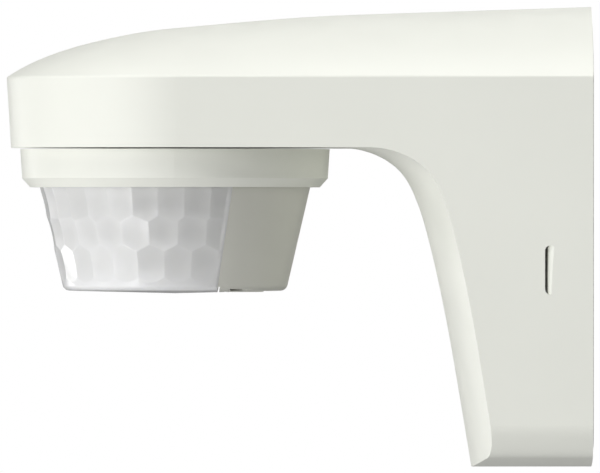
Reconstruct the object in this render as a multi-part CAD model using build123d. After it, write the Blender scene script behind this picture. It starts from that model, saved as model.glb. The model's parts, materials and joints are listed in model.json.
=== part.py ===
from build123d import *
from math import cos, hypot, radians, sin, tan
import os

# Wall-mounted outdoor motion sensor: a hollow housing (a post on the wall with an arm on top of
# it) that pushes onto a wall base, and a round sensor head that turns under the end of the arm.
#
# Millimetres. The wall is the plane Y = 0, the arm reaches out along -Y, +Z is up and X is across.
# The origin is on the wall, halfway between the base's two screw slots.

# ---------------------------------------------------------------- housing
REACH = 132.0  # wall to the nose of the arm
WIDTH = 76.0  # across the arm at its edge line
EDGE_Z = 35.8  # the sharp edge line where the roof meets the sides
BOTTOM_Z = -52.0
ARM_UNDER_Z = 19.9
WALL = 2.4  # housing wall thickness
SIDE_DRAFT = 1.5  # degrees, the sides narrow downwards
NOSE_DRAFT = 3.6  # degrees, the nose leans back downwards
WALL_GAP = 0.15  # housing rim to the wall
PAST = 5.0  # how far cutting tools run past what they cut

CROWN_RISE = 15.9  # roof above the edge line, at the wall
CROWN_SLOPE = 0.033
CROWN_DROP = 2.4  # further fall of the roof towards the nose
CROWN_DROP_FROM = 54.0
CROWN_DROP_TO = 117.0
CROWN_ROUND = 0.8  # share of the arch that is parabolic; the rest is its steep shoulder

POST_FRONT = [(57.0, 19.9), (49.2, 18.5), (43.1, 14.4), (39.9, 9.0), (37.0, 0.0), (33.7, -14.4),
              (30.4, -32.4), (27.7, -48.6), (26.3, -57.0)]  # distance from the wall, height
POST_LEAN = (1.0, -6.0)  # the way the post's front runs at its lower end
POST_BULGE = 6.2  # how much further the post's front stands out in the middle than at its sides
BEND_FROM = 62.0  # distance from the wall at which the arm's underside stops being flat
POST_CORNER_R = 7.5
POST_BOTTOM_R = 195.0
EDGE_R = 0.6

SLOT_D = 9.7  # release slot: distance from the wall
SLOT_Z = -7.6
SLOT_WIDE = 2.5
SLOT_HIGH = 11.0
SLOT_RAMP = [(37.05, 8.3), (36.7, 9.6), (36.0, 10.35)]  # X and distance from the wall along its floor
CHANNEL_X = 34.9  # floor of the track the latch runs in, inside the side wall
CHANNEL_HIGH = 17.4
CHANNEL_D = 11.3
POCKET_X = 35.65  # floor of the pocket the latch nose snaps into
POCKET_D = (8.3, 10.95)

# ---------------------------------------------------------------- wall base
BASE_FIT = 0.35  # gap between the base's rim and the housing
BASE_PLATE = 2.2
BASE_RIM = 1.8
BASE_DEEP = 12.0
SCREW_Z = 30.0  # wall screw slots above and below the origin
SCREW_SLOT_R = 2.25
SCREW_SLOT_LONG = 9.0
PAD_WIDE = 14.0
PAD_HIGH = 12.4
PAD_DEEP = 4.4
RIB_X = 22.0
RIB_THICK = 1.6
RIB_DEEP = 6.0
RIB_Z = (-44.0, 36.0)
SEAL_IN = 3.7  # inset of the wall seal's groove from the housing's outside
SEAL_WIDE = 2.0
SEAL_DEEP = 1.2

ENTRY_Z = -14.0  # cable entry
ENTRY_R = 4.0
ENTRY_HOLE_R = 7.0
ENTRY_SINK_R = 9.5
ENTRY_SINK = 1.0
ENTRY_DEEP = 7.0
GROMMET_BACK = 0.1  # the grommet's flange lies this far inside the wall face
GROMMET_FLANGE_R = 9.3
GROMMET_SHOULDER = [(8.9, 2.2), (8.5, 3.6), (6.2, 4.0), (5.2, 7.0)]  # radius, distance from the wall

POLES = 4
POLE_PITCH = 7.5
BLOCK_Z = (-1.0, 12.0)
BLOCK_DEEP = 17.0
BARRIER_WIDE = 1.0  # slits between the poles, for their insulating barriers
BARRIER_DEEP = 3.0
CLAMP = (5.0, 6.0, 8.0)
CLAMP_D = 8.0
CLAMP_Z = 5.5
WIRE_R = 1.6
WIRE_MOUTH_R = 2.1
SCREW_R = 1.4  # thread of all the small screws
SCREW_HEAD_R = 2.2
SCREW_WELL_R = 2.5
SCREW_FROM = 14.6  # terminal screw head, distance from the wall
DRIVE = (6.0, 0.8, 0.8)  # screwdriver slot: length, width, depth
STRIP_WIDE = 2.4
STRIP_THICK = 0.8
SOCKET_Z = 18.5
SOCKET_HIGH = 8.0
SOCKET_DEEP = 14.0
SOCKET_MOUTH = 2.5
CONTACT = 3.0
CONTACT_D = (4.0, 13.0)
CONTACT_HOLE = 1.9

LATCH_X = 33.0  # latch hinge line
LATCH_D = 3.6
LATCH_HIGH = 12.4
LATCH_KNUCKLE_R = 1.2
LATCH_KNUCKLE_MORE = 0.3  # how far the knuckle stands past the arm at each end
LATCH_PIN_R = 0.8
LATCH_ARM = (32.3, 33.7)
LATCH_TIP_D = 11.1
LATCH_NOSE = [(33.6, 8.65), (34.78, 8.75), (34.78, 9.65), (34.1, 10.45), (33.6, 10.65)]
NOSE_HIGH = 8.0
NOSE_FIT = 0.35
LUG = 1.5
LUG_R = 1.3
LUG_APART = 15.2  # between the middles of the two lugs that hold a latch
LUG_ROOM = 0.6
RUN = 0.05  # radial running clearance

# ---------------------------------------------------------------- electronics in the arm
BOARD_Z = 24.6
BOARD_THICK = 1.6
BOARD_TOP = BOARD_Z + BOARD_THICK
BOARD_X = 27.0
BOARD_D = (19.0, 70.0)
BOARD_SCREW_X = 24.0
BOARD_SCREW_D = (23.5, 66.5)
BOARD_SCREW_DEEP = 2.0
BOARD_HEAD_HIGH = 2.0
BOSS_R = 3.2
SHELF_HIGH = 4.0
PIN_WIDE = 1.2
PIN_D = (7.0, 24.0)
HEADER_D = (18.0, 25.0)
HEADER_LOW_Z = 15.5
RELAY = ((-23.0, -4.0), (32.0, 48.0), 12.4)  # X, distance from the wall, height above the board
FILM_CAPACITOR = ((2.0, 20.0), (30.0, 38.0), 11.0)
CONNECTOR = ((-5.0, 5.0), (62.0, 68.0), 6.0)
CASE_R = 0.6
CANS = [(15.0, 47.0, 5.0, 13.0), (3.0, 50.0, 4.0, 11.0)]  # X, distance, radius, height
CAN_NECK = (1.6, 2.2)  # beaded groove round a can, above the board
CAN_NECK_DEEP = 0.3
CAN_EDGE_R = 0.5
VARISTOR = (-8.0, 60.0, 5.0, 3.6)  # X, distance, radius, length
FUSE = (14.0, 59.0, 2.6, 20.0)
LINK_R = 2.0
LINK_ROUTE = [(68.0, 29.2), (82.0, 33.2), (94.0, 24.2), (94.0, 17.4)]  # distance from the wall, height

# ---------------------------------------------------------------- sensor head
HEAD_D = 94.0  # the head turns about a vertical line this far from the wall
COLLAR_TOP_Z = 19.6
COLLAR_R = 34.9
COLLAR_LOW_R = 34.5
COLLAR_STEP_Z = 13.05
COLLAR_FOOT_R = 32.7
COLLAR_FOOT_Z = 11.0
COLLAR_PLATE = 1.8
COLLAR_IN_R = 30.7
SPINDLE_R = 15.0
SPINDLE_IN_R = 12.5
SPINDLE_TOP_Z = 27.4
FLOOR_RING_R = 18.5  # raised ring round the spindle
FLOOR_RING_Z = 24.3
RING_R = 19.0
RING_Z = (24.6, 26.6)
LUG_TIP_R = 22.0  # stop lug of the retaining ring
LUG_ANGLE = 20.0
STOP_R = (19.5, 22.0)
STOP_ANGLE = 158.0
SEAL_Z = 21.1  # O-ring round the spindle
SEAL_R = 0.75
SEAL_ROOM = 0.05
HEAD_SCREW_R = 22.0  # the circle the head's three screws stand on
HEAD_SINK = 1.0

CUP_R = 30.5
CUP_LOW_R = 25.1  # where the cup's side and bottom would meet, before the edge is rounded
CUP_LOW_Z = -12.3
CUP_EDGE_R = 1.7
CUP_BOTTOM_Z = -12.9
SHROUD_WALL = 1.6
LENS_WALL = 0.9
SEAM_TOP = 13.1  # lens seam behind the head's axis, at the collar's foot
SEAM_LOW = 9.6  # and at the bottom
SEAM_GROOVE = 0.45  # parting line beside the lens, across the underside
SEAM_GROOVE_Z = -11.4
FRAME_THICK = 1.4

COVER_X = 10.2
COVER_BACK = (11.5, 19.6)  # settings cover: front edge and hinge line behind the head's axis
COVER_Z = -11.95
COVER_THICK = 1.3
COVER_GAP = 0.35
COVER_PIN_R = 0.4
COVER_PIN_LONG = 1.2
EAR = (1.6, 1.2, 0.3, 1.5)  # thickness, half its depth, below and above the hinge line
DIAL_X = 5.6
DIAL_BACK = 15.4
DIAL_R = 3.2
DIAL_Z = (-10.5, -8.3)
DIAL_EDGE = 0.4
DIAL_SLOT = (4.8, 0.8, 1.0)  # length, width, depth
DIAL_NOTCH = (0.6, 1.2, 0.4)  # width, how far from the dial's middle it starts, depth
DIAL_SHAFT_R = 1.5
SHAFT_TOP_Z = -3.2
PANEL_X = 11.5
PANEL_BACK = (12.6, 20.5)
PANEL_Z = (-8.0, -7.0)
PANEL_HOLE_R = 1.8
POT_X = 4.8  # half a potentiometer's width
POT_BACK = (12.6, 19.2)
POT_Z = (-7.0, -2.0)
CONTROL_X = 13.0
CONTROL_BACK = (13.5, 22.0)
CONTROL_Z = -2.0
LINK_PINS_X = 6.0
LINK_PINS_BACK = (19.5, 21.5)
GROOVE_BACK = (12.5, 17.3)
GROOVE_Z = (-12.3, -11.9)

SENSOR_BOARD_Z = 12.4
SENSOR_BOARD_R = 27.5
SENSOR_BOARD_GAP = 0.3  # between the board and the partition behind the lens
CARRIER_R = 9.0
CARRIER_Z = (-7.0, 12.4)
CARRIER_BACK = 6.0  # flat at the carrier's rear, ahead of the lens seam
PYRO_R = 4.6
PYRO_LONG = 3.4
PYRO_Z = 1.5
PYRO_TURN = 60.0
PYRO_SINK = 1.0
LIGHT_AHEAD = 14.0  # light sensor, ahead of the head's axis
LIGHT_R = 2.5
LIGHT_LOW_Z = 6.4


# ---------------------------------------------------------------- small shapes
def block(x, d, z):
    """A box between two values of X, of distance from the wall, and of Z."""
    size = (x[1] - x[0], d[1] - d[0], z[1] - z[0])
    return Pos((x[0] + x[1]) / 2, -(d[0] + d[1]) / 2, (z[0] + z[1]) / 2) * Box(*size)


def slab(near, far):
    """A slice parallel to the wall between two distances from it."""
    return block((-WIDTH, WIDTH), (near, far), (-2 * WIDTH, 2 * WIDTH))


def rod_up(r, x, d, z):
    return Pos(x, -d, (z[0] + z[1]) / 2) * Cylinder(r, z[1] - z[0])


def rod_out(r, x, z, d):
    return Pos(x, -(d[0] + d[1]) / 2, z) * Rot(90, 0, 0) * Cylinder(r, d[1] - d[0])


def rod_across(r, d, z, x):
    return Pos((x[0] + x[1]) / 2, -d, z) * Rot(0, 90, 0) * Cylinder(r, x[1] - x[0])


def turned(points, angle=360, start=0):
    """A profile of (radius, height) points turned about the head's axis."""
    face = Plane.XZ * make_face(Polyline(*points, close=True))
    return Pos(0, -HEAD_D, 0) * Rot(0, 0, start) * revolve(face, Axis.Z, angle)


def arc_wall(r, z, angle, middle):
    """A piece of a round wall about the head's axis, of a given angle about a given direction."""
    section = [(r[0], z[0]), (r[1], z[0]), (r[1], z[1]), (r[0], z[1])]
    return turned(section, angle, middle - angle / 2)


def both_sides(part):
    return [part, mirror(part, Plane.YZ)]


def slot_through(width, high, deep):
    """A standing slot with round ends, cut along Y from the wall to the given depth."""
    face = Plane.XZ * SlotOverall(high, width, rotation=90)
    return extrude(face, deep + PAST, both=True)


# ---------------------------------------------------------------- housing form
def plan_face(z, inset):
    """The arm and post seen from above at height z: straight sides and a half-round nose."""
    drop = EDGE_Z - z
    half = WIDTH / 2 - drop * tan(radians(SIDE_DRAFT)) - inset
    nose = REACH - drop * tan(radians(NOSE_DRAFT)) - inset
    turn_y = half - nose
    with BuildSketch(Plane.XY.offset(z)) as plan:
        with BuildLine():
            Polyline((-half, turn_y), (-half, PAST), (half, PAST), (half, turn_y))
            ThreePointArc((half, turn_y), (0, -nose), (-half, turn_y))
        make_face()
    return plan.sketch


def smooth_step(t):
    t = min(max(t, 0.0), 1.0)
    return t * t * (3 - 2 * t)


def roof_z(x, y):
    """Roof height: an arch across the arm that fades to nothing along the edge line."""
    half = WIDTH / 2
    rim = hypot(x, max(0.0, -y - (REACH - half))) / half
    arch = 1 - CROWN_ROUND * rim**2 - (1 - CROWN_ROUND) * rim**6
    fall = smooth_step((-y - CROWN_DROP_FROM) / (CROWN_DROP_TO - CROWN_DROP_FROM))
    rise = CROWN_RISE + CROWN_SLOPE * y - CROWN_DROP * fall
    return EDGE_Z + rise * arch


def smooth_surface(grid):
    return Face.make_surface_from_array_of_points(grid, tol=0.01, min_deg=3, max_deg=5)


def steps(first, last, count):
    return [first + (last - first) * k / count for k in range(count + 1)]


def under_roof(inset):
    """Everything below the roof."""
    across = steps(-WIDTH / 2 - 2, WIDTH / 2 + 2, 40)
    along = steps(PAST, -REACH - 4, 47)
    roof = smooth_surface([[(x, y, roof_z(x, y) - inset) for x in across] for y in along])
    return extrude(roof, amount=2 * WIDTH, dir=(0, 0, -1))


def before_post(inset):
    """The empty space in front of the post, under the bend to the arm."""
    along, down = POST_LEAN
    line = Spline(*[(-d, z) for d, z in POST_FRONT], tangents=[(1, 0), (along, down)])
    curve = [(p.X + inset, p.Y + inset) for p in (line @ t for t in steps(0, 1, 36))]
    across = steps(-WIDTH / 2 - 2, WIDTH / 2 + 2, 20)
    back = {x: POST_BULGE * (x / (WIDTH / 2)) ** 2 for x in across}
    start = curve[0]
    grid = [
        [(x, -BEND_FROM + (start[0] + back[x] + BEND_FROM) * t, start[1]) for x in across]
        for t in (0, 0.25, 0.5, 0.75)
    ]
    grid += [[(x, y + back[x], z) for x in across] for y, z in curve]
    return extrude(smooth_surface(grid), amount=2 * WIDTH, dir=(0, -1, -1))


def over_bottom(inset):
    """Everything above the post's slightly rounded bottom."""
    half = WIDTH / 2 + PAST
    low = BOTTOM_Z + inset
    rise = POST_BOTTOM_R - (POST_BOTTOM_R**2 - half**2) ** 0.5
    arc = ThreePointArc((-half, low + rise), (0, low), (half, low + rise))
    sides = Polyline(arc @ 1, (half, WIDTH), (-half, WIDTH), arc @ 0)
    face = Plane.XZ.offset(-PAST) * make_face([arc, sides])
    return extrude(face, amount=REACH + 3 * PAST)


def form(inset, near=-PAST, far=REACH):
    """The housing as a solid block, or with an inset what is inside it, between two distances."""
    low, high = BOTTOM_Z - PAST, EDGE_Z + CROWN_RISE + PAST
    body = loft([plan_face(low, inset), plan_face(high, inset)], ruled=True)
    body = body & under_roof(inset) & over_bottom(inset)
    below_arm = (low - PAST, ARM_UNDER_Z + inset)
    body = body - block((-WIDTH, WIDTH), (BEND_FROM, REACH + PAST), below_arm) - before_post(inset)
    corners = [
        edge for edge in body.edges()
        if edge.center().Z < BOTTOM_Z + 2 * PAST and edge.bounding_box().size.Y > 3 * PAST
    ]
    return fillet(corners, POST_CORNER_R - inset) & slab(near, far)


def rounded_form():
    """The housing's outside, with the sharp line under its roof just rounded over."""
    body = form(0, near=WALL_GAP)
    edge_line = [
        edge for edge in body.edges()
        if abs(edge.center().Z - EDGE_Z) < EDGE_R and edge.bounding_box().size.Y > 3 * PAST
    ]
    return fillet(edge_line, EDGE_R)


# ---------------------------------------------------------------- housing parts
def release_slots():
    """Slots with a rounded ramp for a floor, which leads a screwdriver to the gap at its end."""
    opening = Plane.YZ * Pos(-SLOT_D, SLOT_Z) * SlotOverall(SLOT_HIGH, SLOT_WIDE, rotation=90)
    far = SLOT_D + SLOT_WIDE / 2
    ramp = ThreePointArc(*[(x, -d) for x, d in SLOT_RAMP])
    first, last = ramp @ 0, ramp @ 1
    sides = Polyline(last, (0, last.Y), (0, -far), (WIDTH, -far), (WIDTH, first.Y), first)
    above_floor = Plane.XY.offset(SLOT_Z) * make_face([ramp, sides])
    return both_sides(extrude(opening, WIDTH) & extrude(above_floor, SLOT_HIGH, both=True))


def latch_tracks():
    """Shallow tracks inside the side walls for the latches, each with a pocket for the nose."""
    high = (SLOT_Z - CHANNEL_HIGH / 2, SLOT_Z + CHANNEL_HIGH / 2)
    half = NOSE_HIGH / 2 + NOSE_FIT
    track = block((-CHANNEL_X, CHANNEL_X), (-PAST, CHANNEL_D), high)
    return track + block((-POCKET_X, POCKET_X), POCKET_D, (SLOT_Z - half, SLOT_Z + half))


def board_screw_spots():
    return [(side * BOARD_SCREW_X, d) for side in (-1, 1) for d in BOARD_SCREW_D]


def board_supports():
    """Two bosses on the arm's floor and two shelves on the side walls for the power board."""
    near, far = BOARD_SCREW_D
    boss = rod_up(BOSS_R, BOARD_SCREW_X, far, (ARM_UNDER_Z + WALL / 2, BOARD_Z))
    shelf = block((BOARD_SCREW_X - BOSS_R, WIDTH / 2 - WALL), (near - BOSS_R, near + BOSS_R),
                  (BOARD_Z - SHELF_HIGH, BOARD_Z))
    return both_sides(boss) + both_sides(shelf)


def spindle_seat():
    """The raised ring in the arm's floor round the spindle, with the wall the head's stop runs in."""
    floor = ARM_UNDER_Z + WALL / 2
    ring = turned([(SPINDLE_R, floor), (FLOOR_RING_R, floor), (FLOOR_RING_R, FLOOR_RING_Z),
                   (SPINDLE_R, FLOOR_RING_Z)])
    return ring + arc_wall(STOP_R, (floor, RING_Z[1]), STOP_ANGLE, 90)


def housing_shell():
    shell = rounded_form() - form(WALL)
    shell = shell + board_supports() + spindle_seat()
    shell = shell - rod_up(SPINDLE_R + RUN, 0, HEAD_D, (0, FLOOR_RING_Z + PAST))
    shell = shell - release_slots() - latch_tracks()
    for x, d in board_screw_spots():
        shell = shell - rod_up(SCREW_R, x, d, (BOARD_Z - BOARD_SCREW_DEEP, BOARD_Z))
    return shell


def power_board():
    board = block((-BOARD_X, BOARD_X), BOARD_D, (BOARD_Z, BOARD_TOP))
    return board - [rod_up(SCREW_R, x, d, (BOARD_Z, BOARD_TOP)) for x, d in board_screw_spots()]


def drive_slot(x, d, top):
    """The screwdriver slot in a screw head whose top is at the given height."""
    long, wide, deep = DRIVE
    return block((x - long / 2, x + long / 2), (d - wide / 2, d + wide / 2), (top - deep, top + deep))


def screw_down(x, d, low, under, top):
    """An upright screw from its tip, to the underside of its head, to its top."""
    screw = rod_up(2 * SCREW_R, x, d, (under, top)) + rod_up(SCREW_R, x, d, (low, under))
    return screw - drive_slot(x, d, top)


def board_screws():
    low, top = BOARD_Z - BOARD_SCREW_DEEP, BOARD_TOP + BOARD_HEAD_HIGH
    return Compound(children=[screw_down(x, d, low, BOARD_TOP, top) for x, d in board_screw_spots()])


def pole_xs():
    return [(k - (POLES - 1) / 2) * POLE_PITCH for k in range(POLES)]


def post_out(x, wide, d, z=SOCKET_Z):
    """A square bar that points away from the wall."""
    half = wide / 2
    return block((x - half, x + half), d, (z - half, z + half))


def plug_pins():
    return Compound(children=[post_out(x, PIN_WIDE, PIN_D) for x in pole_xs()])


def plug_header():
    half = POLES * POLE_PITCH / 2
    body = block((-half, half), HEADER_D, (HEADER_LOW_Z, BOARD_Z))
    return body - [post_out(x, PIN_WIDE, PIN_D) for x in pole_xs()]


def on_board(x, d, high):
    """A boxy component standing on the power board, with softened upright edges."""
    body = block(x, d, (BOARD_TOP, BOARD_TOP + high))
    return fillet(body.edges().filter_by(Axis.Z), CASE_R)


def capacitor(x, d, r, high):
    """An electrolytic can with the usual beaded neck near its foot."""
    low, top = (BOARD_TOP + h for h in CAN_NECK)
    can = rod_up(r, x, d, (BOARD_TOP, BOARD_TOP + high))
    neck = rod_up(2 * r, x, d, (low, top)) - rod_up(r - CAN_NECK_DEEP, x, d, (low, top))
    return fillet((can - neck).edges().group_by(Axis.Z)[-1], CAN_EDGE_R)


def lying_rod(x, d, r, long):
    """A round component lying across the power board."""
    return rod_across(r, d, BOARD_TOP + r, (x - long / 2, x + long / 2))


def link_cable():
    """The lead from the power board, along the arm and down the middle of the hollow spindle."""
    route = Spline(*[(0, -d, z) for d, z in LINK_ROUTE], tangents=[(0, -1, 0), (0, 0, -1)])
    section = Plane(origin=route @ 0, z_dir=route % 0) * Circle(LINK_R)
    return sweep(section, path=route)


# ---------------------------------------------------------------- wall base parts
def screw_pad(z):
    half = PAD_HIGH / 2
    return block((-PAD_WIDE / 2, PAD_WIDE / 2), (BASE_PLATE / 2, PAD_DEEP), (z - half, z + half))


def screw_slot(z):
    return Pos(0, 0, z) * slot_through(2 * SCREW_SLOT_R, SCREW_SLOT_LONG, PAD_DEEP)


def rib():
    half = RIB_THICK / 2
    return block((RIB_X - half, RIB_X + half), (BASE_PLATE / 2, RIB_DEEP), RIB_Z)


def latch_gap():
    """The break in the base's rim that a latch moves in."""
    reach = (LUG_APART + LUG) / 2 + LUG_ROOM
    near = LATCH_ARM[0] - LUG_R
    return block((near, WIDTH), (BASE_PLATE, BASE_DEEP + PAST), (SLOT_Z - reach, SLOT_Z + reach))


def latch_lugs():
    """The two lugs a latch turns between, with its hinge hole through both."""
    x = (LATCH_X - LUG_R, LATCH_X + LUG_R)
    reach = (LUG_APART + LUG) / 2
    both = block(x, (BASE_PLATE / 2, LATCH_D + LUG_R), (SLOT_Z - reach, SLOT_Z + reach))
    between = block(x, (BASE_PLATE, BASE_DEEP), (SLOT_Z - reach + LUG, SLOT_Z + reach - LUG))
    hole = rod_up(LATCH_PIN_R + RUN, LATCH_X, LATCH_D, (SLOT_Z - reach, SLOT_Z + reach))
    return both - between - hole


def base_plate():
    """A tray on the wall whose rim fits inside the housing."""
    inset = WALL + BASE_FIT
    plate = form(inset, 0, BASE_DEEP) - form(inset + BASE_RIM, BASE_PLATE)
    plate = plate + both_sides(rib()) + [screw_pad(z) for z in (-SCREW_Z, SCREW_Z)]
    plate = plate - [screw_slot(z) for z in (-SCREW_Z, SCREW_Z)] - both_sides(latch_gap())
    plate = plate + both_sides(latch_lugs())
    plate = plate - rod_out(ENTRY_HOLE_R, 0, ENTRY_Z, (-PAST, PAST))
    plate = plate - rod_out(ENTRY_SINK_R, 0, ENTRY_Z, (-PAST, ENTRY_SINK))
    return plate - base_seal()


def base_seal():
    return form(SEAL_IN, 0, SEAL_DEEP) - form(SEAL_IN + SEAL_WIDE)


def cable_grommet():
    """A rubber grommet that grips the base plate, with a lip that closes round the cable."""
    profile = [(ENTRY_R, GROMMET_BACK), (GROMMET_FLANGE_R, GROMMET_BACK), (GROMMET_FLANGE_R, ENTRY_SINK),
               (ENTRY_HOLE_R, ENTRY_SINK), (ENTRY_HOLE_R, BASE_PLATE), *GROMMET_SHOULDER,
               (ENTRY_R, ENTRY_DEEP)]
    solid = revolve(Plane.XZ * make_face(Polyline(*profile, close=True)), Axis.Z)
    return Pos(0, 0, ENTRY_Z) * Rot(90, 0, 0) * solid


def clamp_box(x):
    wide, deep, high = CLAMP
    return block((x - wide / 2, x + wide / 2), (CLAMP_D - deep / 2, CLAMP_D + deep / 2),
                 (CLAMP_Z - high / 2, CLAMP_Z + high / 2))


def wire_bore(x, r):
    """The hole a wire goes up, from under the block to just past the clamping screw."""
    return rod_up(r, x, CLAMP_D, (BLOCK_Z[0] - PAST, CLAMP_Z + WIRE_R))


def screw_bore(x, r):
    return rod_out(r, x, CLAMP_Z, (CLAMP_D, BLOCK_DEEP + PAST))


def barrier_slit(x):
    half = BARRIER_WIDE / 2
    return block((x - half, x + half), (BLOCK_DEEP - BARRIER_DEEP, BLOCK_DEEP), BLOCK_Z)


def terminal_block():
    half = POLES * POLE_PITCH / 2
    body = block((-half, half), (BASE_PLATE, BLOCK_DEEP), BLOCK_Z)
    for x in pole_xs():
        body = body - clamp_box(x) - wire_bore(x, WIRE_MOUTH_R) - screw_bore(x, SCREW_WELL_R) - strip(x)
    return body - [barrier_slit(x) for x in steps(-POLE_PITCH, POLE_PITCH, POLES - 2)]


def terminal_clamps():
    return Compound(children=[
        clamp_box(x) - wire_bore(x, WIRE_R) - screw_bore(x, SCREW_R) for x in pole_xs()
    ])


def terminal_screw(x):
    under = CLAMP_D + CLAMP[1] / 2
    long, wide, deep = DRIVE
    slot = block((x - wide / 2, x + wide / 2), (SCREW_FROM - deep, SCREW_FROM),
                 (CLAMP_Z - long / 2, CLAMP_Z + long / 2))
    screw = rod_out(SCREW_HEAD_R, x, CLAMP_Z, (under, SCREW_FROM))
    return screw + rod_out(SCREW_R, x, CLAMP_Z, (CLAMP_D + WIRE_R, under)) - slot


def terminal_screws():
    return Compound(children=[terminal_screw(x) for x in pole_xs()])


def strip(x):
    """The standing brass strip of one pole, from its clamp up to its socket."""
    return block((x - STRIP_WIDE / 2, x + STRIP_WIDE / 2),
                 (CLAMP_D - STRIP_THICK / 2, CLAMP_D + STRIP_THICK / 2),
                 (CLAMP_Z + CLAMP[2] / 2, SOCKET_Z - CONTACT / 2))


def contact_strips():
    """Brass strips from the clamps up to the sockets that the plug pins push into."""
    return Compound(children=[
        strip(x) + (post_out(x, CONTACT, CONTACT_D) - post_out(x, CONTACT_HOLE, CONTACT_D))
        for x in pole_xs()
    ])


def socket_block():
    half = POLES * POLE_PITCH / 2
    high = (SOCKET_Z - SOCKET_HIGH / 2, SOCKET_Z + SOCKET_HIGH / 2)
    body = block((-half, half), (BASE_PLATE, SOCKET_DEEP), high)
    for x in pole_xs():
        body = body - post_out(x, CONTACT, CONTACT_D) - strip(x)
        body = body - post_out(x, SOCKET_MOUTH, (CONTACT_D[1], SOCKET_DEEP))
    return body


def latch():
    """One release latch: a short arm with a nose, on two pins in the base's lugs."""
    high = (SLOT_Z - LATCH_HIGH / 2, SLOT_Z + LATCH_HIGH / 2)
    knuckle = (high[0] - LATCH_KNUCKLE_MORE, high[1] + LATCH_KNUCKLE_MORE)
    pins = (SLOT_Z - (LUG_APART + LUG) / 2, SLOT_Z + (LUG_APART + LUG) / 2)
    part = rod_up(LATCH_KNUCKLE_R, LATCH_X, LATCH_D, knuckle)
    part = part + rod_up(LATCH_PIN_R, LATCH_X, LATCH_D, pins)
    part = part + block(LATCH_ARM, (LATCH_D, LATCH_TIP_D), high)
    nose = make_face(Polyline(*[(x, -d) for x, d in LATCH_NOSE], close=True))
    return part + Pos(0, 0, SLOT_Z) * extrude(nose, NOSE_HIGH / 2, both=True)


# ---------------------------------------------------------------- sensor head parts
def head_screw_spots():
    turns = (radians(120 * k) for k in range(3))
    return [(HEAD_SCREW_R * sin(turn), HEAD_D - HEAD_SCREW_R * cos(turn)) for turn in turns]


def seal_groove():
    low, high = SEAL_Z - SEAL_R - SEAL_ROOM, SEAL_Z + SEAL_R + SEAL_ROOM
    inner = SPINDLE_R - 2 * (SEAL_R + SEAL_ROOM)
    return turned([(inner, low), (SPINDLE_R + RUN, low), (SPINDLE_R + RUN, high), (inner, high)])


def head_collar():
    """The round collar with its top plate and the hollow spindle that the head turns on."""
    plate_z = COLLAR_TOP_Z - COLLAR_PLATE
    part = turned([(SPINDLE_IN_R, plate_z), (SPINDLE_IN_R, SPINDLE_TOP_Z), (SPINDLE_R, SPINDLE_TOP_Z),
                   (SPINDLE_R, COLLAR_TOP_Z), (COLLAR_R, COLLAR_TOP_Z), (COLLAR_LOW_R, COLLAR_STEP_Z),
                   (COLLAR_FOOT_R, COLLAR_FOOT_Z), (COLLAR_IN_R, COLLAR_FOOT_Z), (COLLAR_IN_R, plate_z)])
    part = part - seal_groove()
    for x, d in head_screw_spots():
        part = part - rod_up(SCREW_R, x, d, (plate_z, COLLAR_TOP_Z))
        part = part - rod_up(2 * SCREW_R, x, d, (COLLAR_TOP_Z - HEAD_SINK, COLLAR_TOP_Z))
    return part


def o_ring():
    return Pos(0, -HEAD_D, SEAL_Z) * Torus(SPINDLE_R - SEAL_R - SEAL_ROOM, SEAL_R)


def retaining_ring():
    low, high = RING_Z
    ring = turned([(SPINDLE_R, low), (RING_R, low), (RING_R, high), (SPINDLE_R, high)])
    return ring + arc_wall(((SPINDLE_R + RING_R) / 2, LUG_TIP_R), RING_Z, LUG_ANGLE, 270)


def head_screws():
    low, under, top = SENSOR_BOARD_Z, COLLAR_TOP_Z - HEAD_SINK, COLLAR_TOP_Z - RUN
    return Compound(children=[screw_down(x, d, low, under, top) for x, d in head_screw_spots()])


def cup_block(inset, top_z):
    """A cylinder inside the collar, a cone below it and a shallow rounded bottom."""
    outline = [(0, top_z), (CUP_R - inset, top_z), (CUP_R - inset, COLLAR_FOOT_Z),
               (CUP_LOW_R - inset, CUP_LOW_Z + inset), (0, CUP_BOTTOM_Z + inset)]
    solid = turned(outline)
    low_edge = [edge for edge in solid.edges() if abs(edge.center().Z - CUP_LOW_Z - inset) < EDGE_R]
    return fillet(low_edge, CUP_EDGE_R - inset / 2)


def cup(thick):
    """The cup under the collar as a shell of the given wall thickness."""
    top_z = COLLAR_TOP_Z - COLLAR_PLATE
    return cup_block(0, top_z) - cup_block(thick, top_z + PAST)


def seam_back(z):
    """Distance of the lens seam behind the head's axis at height z."""
    slope = (SEAM_TOP - SEAM_LOW) / (COLLAR_FOOT_Z - CUP_LOW_Z)
    return SEAM_TOP + slope * (z - COLLAR_FOOT_Z)


def behind_seam(shift=0.0):
    """The space behind the leaning plane of the lens seam, or behind one shifted to the rear."""
    ends = [(seam_back(z) + shift - HEAD_D, z) for z in (-REACH, REACH)]
    corners = [*ends, (REACH, REACH), (REACH, -REACH)]
    return extrude(Plane.YZ * make_face(Polyline(*corners, close=True)), WIDTH, both=True)


def lens():
    return cup(LENS_WALL) - behind_seam()


def cover_opening():
    front, hinge = COVER_BACK
    half = COVER_X + COVER_GAP
    back = (HEAD_D - hinge - COVER_THICK / 2 - COVER_GAP, HEAD_D - front + COVER_GAP)
    return block((-half, half), back, (CUP_BOTTOM_Z - PAST, CUP_BOTTOM_Z + PAST / 2))


def cover_ears():
    """Two ears beside the cover that its hinge pins turn in."""
    thick, deep, below, above = EAR
    hinge = HEAD_D - COVER_BACK[1]
    start = COVER_X + COVER_GAP
    ear = block((start, start + thick), (hinge - deep, hinge + deep), (COVER_Z - below, COVER_Z + above))
    return both_sides(ear)


def cover_hinge_hole():
    reach = COVER_X + COVER_PIN_LONG + COVER_GAP
    return rod_across(COVER_PIN_R + RUN, HEAD_D - COVER_BACK[1], COVER_Z, (-reach, reach))


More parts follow.
